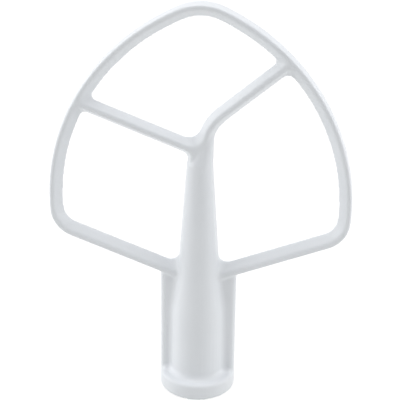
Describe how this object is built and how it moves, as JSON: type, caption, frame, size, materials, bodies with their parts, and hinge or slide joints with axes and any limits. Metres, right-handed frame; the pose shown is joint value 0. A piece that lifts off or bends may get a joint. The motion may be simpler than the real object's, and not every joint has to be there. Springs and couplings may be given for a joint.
{
  "type": "stand mixer flat beater",
  "caption": "Coated cast flat beater for a tilt-head stand mixer: arched frame with cross arms on a tapered column, and a hub with a blind shaft bore and a pin slot.",
  "frame": {"origin": "centre of the hub's end face, at the mouth of the shaft bore; the beater stands on this face", "axes": "+Z along the bore axis from the hub's end towards the frame's tip, +X across the flat frame, +Y through the frame's thickness with the pin slot behind at +Y, so the front is -Y"},
  "size_m": [0.13, 0.0332, 0.1776],
  "materials": {
    "coated_casting": "semi-gloss white baked coating on cast aluminium"
  },
  "bodies": {
    "root": {"flat_beater": "coated_casting"}
  },
  "joints": []
}
